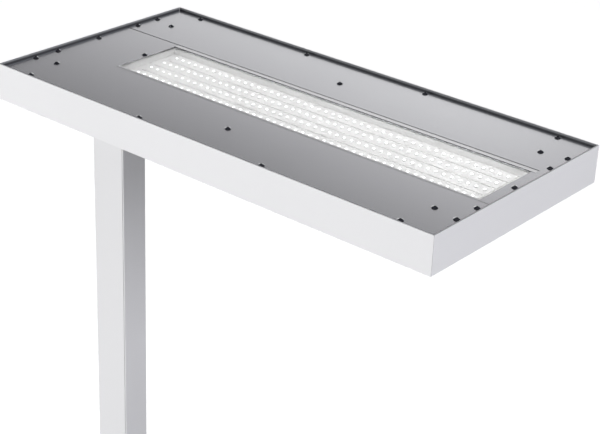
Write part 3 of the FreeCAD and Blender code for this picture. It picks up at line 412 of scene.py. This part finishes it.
def solder_mask(name, lit):
    """A board's white mask, with a painted halo of the LEDs' light glowing on it if they are lit."""
    material, tree, shader = finish(name)
    tracks = grain(tree, 2 * mm, stretch=(30, 1, 1), detail=0.0)
    vary_roughness(tree, shader, tracks, 0.42, 0.55)
    vary_colour(tree, shader, tracks, colour("#EAEAE8"), colour("#F2F2F1"))
    raise_surface(tree, shader, tracks, 0.05 * mm)
    if lit:
        # painted light: the mask glows faintly round each LED, as the halo of its light
        shader.inputs["Emission Color"].default_value = colour("#F8FBFF")
        glow(tree, shader, from_core(tree, led_first, led_pitch),
             near=2.2 * mm, far=4.4 * mm, core=0.12, edge=0.01)
    return material


white_board = solder_mask("white_solder_mask", lit=False)
lit_board = solder_mask("lit_solder_mask", lit=True)
white_tray, tree, shader = finish("white_reflector_paint")
stipple = grain(tree, 1.5 * mm)
vary_roughness(tree, shader, stipple, 0.5, 0.62)
vary_colour(tree, shader, grain(tree, 60 * mm), colour("#F0F0EF"), colour("#F5F5F4"))
raise_surface(tree, shader, stipple, 0.015 * mm)
print("whites:", white_board.name, lit_board.name, white_tray.name)

# %% [markdown]
# ## Phosphor LEDs
#
# The downward light has flat packages with yellow phosphor behind a clear window, in a white case. They
# are switched off and hidden by the opal panel. Fine phosphor grains of 0.02 mm are drawn at 0.4 mm.

# %% Phosphor
phosphor, tree, shader = finish("phosphor_resin", IOR=1.41)
grit = grain(tree, 0.4 * mm)
vary_roughness(tree, shader, grit, 0.35, 0.45)
vary_colour(tree, shader, grit, colour("#D8BE4C"), colour("#EBD978"))
raise_surface(tree, shader, grit, 0.02 * mm)
print("phosphor:", phosphor.name)

# %% [markdown]
# ## Moulded plastics
#
# The control's housing and its push-buttons are ABS, moulded in a spark-eroded tool that leaves an even
# matt grain of about 0.3 mm. The driver cases are polycarbonate, the terminal block and the gland are
# polyamide, and the switches are a black polyester. All are dielectrics with an IOR near 1.5, so one
# function makes them, with the grain drawn at 0.8 mm so that it shows up close.

# %% Moulded plastic


def moulded(name, hex_value, low, high, depth=0.03 * mm):
    """A plastic with a spark-eroded grain and a roughness from low to high."""
    material, tree, shader = finish(name, IOR=1.53)
    spark = grain(tree, 0.8 * mm, detail=3.0)
    vary_roughness(tree, shader, spark, low, high)
    vary_colour(tree, shader, grain(tree, 30 * mm), colour(hex_value, 0.95), colour(hex_value))
    raise_surface(tree, shader, spark, depth)
    return material


control_plastic = moulded("grey_abs", "#55585B", 0.42, 0.55)
button_plastic = moulded("pale_abs", "#DADBDC", 0.36, 0.46, 0.015 * mm)
driver_plastic = moulded("polycarbonate", "#E6E6E4", 0.42, 0.52)
terminal_plastic = moulded("polyamide", "#D9D9D4", 0.48, 0.58)
gland_plastic = moulded("gland_polyamide", "#B5B7B8", 0.44, 0.54)
switch_plastic = moulded("black_polyester", "#17181A", 0.4, 0.5)
plastics = (control_plastic, button_plastic, driver_plastic, terminal_plastic, gland_plastic,
            switch_plastic)
print("plastics:", [plastic.name for plastic in plastics])

# %% [markdown]
# ## Circuit board, cable and rubber
#
# The control's board is glass epoxy with a green solder mask, paler where copper lies below it. Cable
# sheath is soft PVC, with the faint rings of its cores showing along it. The gland's seal and the base's
# underlay are rubber: matt, dark and never quite even. The underlay is pressed from 2 mm crumbs.

# %% Green board
green_board, tree, shader = finish("green_solder_mask")
place = add(tree, "TexCoord").outputs["Object"]
copper = add(tree, "TexVoronoi", {"distance": "MANHATTAN"},
             {"Vector": place, "Scale": 1 / (5 * mm)})
track = add(tree, "MapRange", inputs={"Value": copper.outputs["Distance"],
                                      "From Min": 0.3, "From Max": 0.4})
vary_colour(tree, shader, track.outputs["Result"], colour("#2C7A4C"), colour("#17492D"))
vary_roughness(tree, shader, grain(tree, 2 * mm), 0.3, 0.42)
raise_surface(tree, shader, track.outputs["Result"], -0.03 * mm)
print("board:", green_board.name)

# %% Cable and rubber


def soft_compound(name, dark, light, lump, low, high, depth):
    """A rubber or soft PVC, uneven in lumps of a given size."""
    material, tree, shader = finish(name, IOR=1.5)
    lumps = grain(tree, lump)
    vary_roughness(tree, shader, lumps, low, high)
    vary_colour(tree, shader, lumps, colour(dark), colour(light))
    raise_surface(tree, shader, lumps, depth)
    return material


cable_pvc = soft_compound("cable_pvc", "#858789", "#939597", 4 * mm, 0.42, 0.52, 0.05 * mm)
seal_rubber = soft_compound("seal_rubber", "#1E1F21", "#292A2C", 1 * mm, 0.6, 0.75, 0.03 * mm)
underlay_rubber = soft_compound("crumb_rubber", "#232426", "#38393B", 2 * mm, 0.8, 0.9, 0.2 * mm)
print("soft:", cable_pvc.name, seal_rubber.name, underlay_rubber.name)

# %% [markdown]
# ## Give every part its finish
#
# The CAD model names a slot on each part for what it is made of. A table from slot to material dresses all
# parts in one loop, and any slot that the table forgets stops the script. The boards beside the lit LEDs
# then get a material of their own, because the other boards are dark.

# %% Dress the parts
finishes = {
    "frame_coat": frame_powder, "mast_coat": mast_powder, "underplate_coat": underplate_powder,
    "base_coat": base_powder, "cover_sheet": silver_lacquer, "bead_metal": bead_metal,
    "bare_aluminium": mill_aluminium, "chassis_zinc": zinc_sheet, "bright_steel": bright_steel,
    "dark_steel": dark_steel, "clear_acrylic": clear_acrylic, "opal_acrylic": opal_acrylic,
    "tray_white": white_tray, "board_white": white_board, "uplight_led": lit_dome,
    "downlight_led": phosphor, "driver_case": driver_plastic, "terminal_plastic": terminal_plastic,
    "control_abs": control_plastic, "button_abs": button_plastic, "switch_black": switch_plastic,
    "gland_nylon": gland_plastic, "control_board_green": green_board, "cable_grey": cable_pvc,
    "seal_rubber": seal_rubber, "underlay_rubber": underlay_rubber,
}
for node in nodes.values():
    for place in node.material_slots:
        place.material = finishes[place.material.name]
# painted light: the boards under the lit LEDs take the mask with the painted halo
nodes["uplight_boards"].material_slots[0].material = lit_board
print(len(finishes), "slots dressed")

# %% [markdown]
# ## Marks on the push-buttons
#
# The upper button works the upward light and the lower one the downward light. Each carries a small raised
# mark that a finger can feel: a bar for the head, and an arrow on the side where the light goes. A picture
# on the button could show the same, but then it would be flat. So each mark is an outline, drawn in
# millimetres, that is given 0.3 mm of height and rounded edges.

# %% Make the marks
mark_height = 0.3 * mm
mark_sunk = 0.1 * mm
mark_rounding = 0.12 * mm
mark_offset = 2.2 * mm  # the bar lies this far from the button's middle, so that the arrow fits
button_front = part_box("uplight_button")[0].y
bar = [(-3.6, -0.6), (3.6, -0.6), (3.6, 0.6), (-3.6, 0.6)]
arrow = [(-2.6, 2.2), (2.6, 2.2), (0.0, 5.4)]


def raised_mark(name, outlines, centre_z, direction):
    """Closed plates from outlines in mm, proud of a button's front. Direction is 1 up, -1 down."""
    shape = bmesh.new()
    back_y = button_front + mark_sunk
    for outline in outlines:
        corners = [shape.verts.new((x * mm, back_y, centre_z + direction * z * mm))
                   for x, z in outline]
        back = shape.faces.new(corners)
        moved = bmesh.ops.extrude_face_region(shape, geom=[back])["geom"]
        front = [v for v in moved if isinstance(v, bmesh.types.BMVert)]
        bmesh.ops.translate(shape, vec=(0, -mark_height - mark_sunk, 0), verts=front)
        edges = [e for e in shape.edges if all(v in front for v in e.verts)]
        bmesh.ops.bevel(shape, geom=edges, offset=mark_rounding, segments=2, affect="EDGES")
    bmesh.ops.recalc_face_normals(shape, faces=shape.faces)
    mesh = bpy.data.meshes.new(name)
    shape.to_mesh(mesh)
    shape.free()
    mesh.materials.append(control_plastic)
    piece = bpy.data.objects.new(name, mesh)
    bpy.context.scene.collection.objects.link(piece)
    return piece


for name, button, body, direction in (("uplight_mark", "uplight_button", "uplight_push", 1),
                                      ("downlight_mark", "downlight_button", "downlight_push", -1)):
    low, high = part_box(button)
    bar_z = (low.z + high.z) / 2 - direction * mark_offset
    mark = raised_mark(name, (bar, arrow), bar_z, direction)
    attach(mark, body)
    print(name, len(mark.data.polygons), "faces")

# %% [markdown]
# ## The floor
#
# A studio floor curves up into a white wall, so no corner shows. A very large plane does the same, because
# it meets the white horizon of the world below. Under strong light white paint sends a lot back up, which
# would wash out the lamp's underside, so for all but the camera the paint is a darker grey.

# %% Make the floor
floor_half = 60.0
floor_mesh = bpy.data.meshes.new("floor")
floor_corners = [(x * floor_half, y * floor_half, 0) for x, y in ((-1, -1), (1, -1), (1, 1), (-1, 1))]
floor_mesh.from_pydata(floor_corners, [], [(0, 1, 2, 3)])
floor = bpy.data.objects.new("floor", floor_mesh)
bpy.context.scene.collection.objects.link(floor)
floor_paint, tree, shader = finish("white_floor_paint", Roughness=0.8)
seen = add(tree, "LightPath").outputs["Is Camera Ray"]
vary_colour(tree, shader, seen, colour("#8C8C90"), colour("#FCFCFC"))
floor_mesh.materials.append(floor_paint)
print("floor", 2 * floor_half, "m wide")

# %% [markdown]
# ## The room
#
# The plates on top mirror the room, so its brightness decides their shade. The room is white at the
# horizon, dark overhead, and has a large softbox behind the head that ends just above the part that the
# plates mirror. Its edge gives them their slow fade from light at the back to grey in front. The world
# could be one colour with many lamps, but then the plates would mirror an empty room.

# %% World
world = bpy.data.worlds.new("studio")
world.use_nodes = True
bpy.context.scene.world = world
sky = world.node_tree
direction = add(sky, "TexCoord").outputs["Generated"]
up = add(sky, "SeparateXYZ", inputs={0: direction}).outputs["Z"]


def sine(degrees):
    return math.sin(math.radians(degrees))


def fade(value, start, end):
    """1 below start, falling smoothly to 0 at end."""
    node = add(sky, "MapRange", {"interpolation_type": "SMOOTHSTEP"},
               {"Value": value, "From Min": start, "From Max": end, "To Min": 1.0, "To Max": 0.0})
    return node.outputs["Result"]


def along(degrees):
    """How far a direction points to a level heading: 0 is along +Y, 90 along +X."""
    heading = (sine(degrees), sine(90 - degrees), 0.0)
    product = add(sky, "VectorMath", {"operation": "DOT_PRODUCT"}, {0: direction, 1: heading})
    return product.outputs["Value"]


def both(operation, a, b):
    """Two values through one math node."""
    return add(sky, "Math", {"operation": operation}, {0: a, 1: b}).outputs[0]


room_dark, room_white = (0.035, 0.035, 0.042, 1), (1.03, 1.03, 1.03, 1)
softbox_strength = 1.4
softbox_slant = 0.4  # how much its upper edge climbs towards its right
softbox_middle, softbox_right = -40, 50  # headings in degrees, a right angle apart

horizon = fade(up, sine(7), sine(12))
sideways = along(softbox_right)
slope = both("SUBTRACT", up, both("MULTIPLY", sideways, softbox_slant))
behind = both("MULTIPLY", fade(slope, sine(15), sine(28)), fade(sideways, sine(5), sine(24)))
in_front = fade(along(softbox_middle), sine(15), sine(45))
behind = both("MULTIPLY", behind, both("SUBTRACT", 1.0, in_front))
bright = both("MAXIMUM", horizon, both("MULTIPLY", behind, softbox_strength))
shade = add(sky, "Mix", {"data_type": "RGBA", "clamp_factor": False},
            {0: bright, 6: room_dark, 7: room_white})
sky.links.new(shade.outputs[2], sky.nodes["Background"].inputs["Color"])
print("world:", len(sky.nodes), "nodes")

# %% [markdown]
# ## The lamps
#
# Four lamps finish the studio. A wide one overhead whitens the floor and the base, and shines down through
# the window. It is kept off the metal, which would mirror it. A tall softbox in front lights the near rail
# and the mast. A cooler one, high on the right, lights the free end: the head shades the top of the mast
# from it, so the mast's right side fades upwards. The fourth stands for the light that the LEDs scatter to
# and fro in their white tray: tracing it from the domes alone would take far more samples.

# %% Studio lamps


def lamp(name, kind, energy, lit=(), **values):
    """A lamp, kept off everything but the objects in lit if there are any."""
    data = bpy.data.lights.new(name, kind)
    data.energy = energy
    for key, value in values.items():
        setattr(data, key, value)
    light = bpy.data.objects.new(name, data)
    bpy.context.scene.collection.objects.link(light)
    light.visible_camera = False
    if lit:
        light.visible_glossy = False
        light.light_linking.receiver_collection = bpy.data.collections.new(name + "_lit")
        for receiver in lit:
            light.light_linking.receiver_collection.objects.link(receiver)
    return light


def aim(light, place, target):
    """Puts a lamp at a place and turns it to shine at a target."""
    light.location = place
    light.rotation_mode = "QUATERNION"
    light.rotation_quaternion = (Vector(target) - light.location).to_track_quat("-Z", "Y")


in_window = [nodes[name] for name in ("reflector_tray", "uplight_boards", "uplight_leds")]
lamp("overhead", "SUN", 3.0, [floor, nodes["base_plate"], nodes["window_pane"], *in_window],
     angle=math.radians(60))
key = lamp("key", "AREA", 130, shape="RECTANGLE", size=2.5, size_y=1.6)
aim(key, (-1.4, -4.0, 1.7), (0.2, 0.0, 1.7))
side = lamp("side", "AREA", 64, shape="RECTANGLE", size=1.6, size_y=1.2, color=(0.95, 0.95, 1.0))
side.visible_glossy = False
aim(side, (3.4, -0.5, 3.1), (0.3, 0.0, 1.7))

tray_low, tray_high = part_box("reflector_tray")
scatter_margin = 8 * mm
scatter_shift = 6 * mm  # towards the free end, because the tray is dimmer at the mast
scatter_below_top = 0.4 * mm
scatter = lamp("scatter", "AREA", 0.037, in_window, shape="RECTANGLE",
               size=led_high.x - led_low.x + scatter_margin,
               size_y=tray_high.y - tray_low.y - scatter_margin)
scatter.location = ((led_low.x + led_high.x) / 2 + scatter_shift,
                    (tray_low.y + tray_high.y) / 2, tray_high.z - scatter_below_top)
bpy.context.scene.view_settings.view_transform = "Standard"
print("lamps:", len(bpy.data.lights))
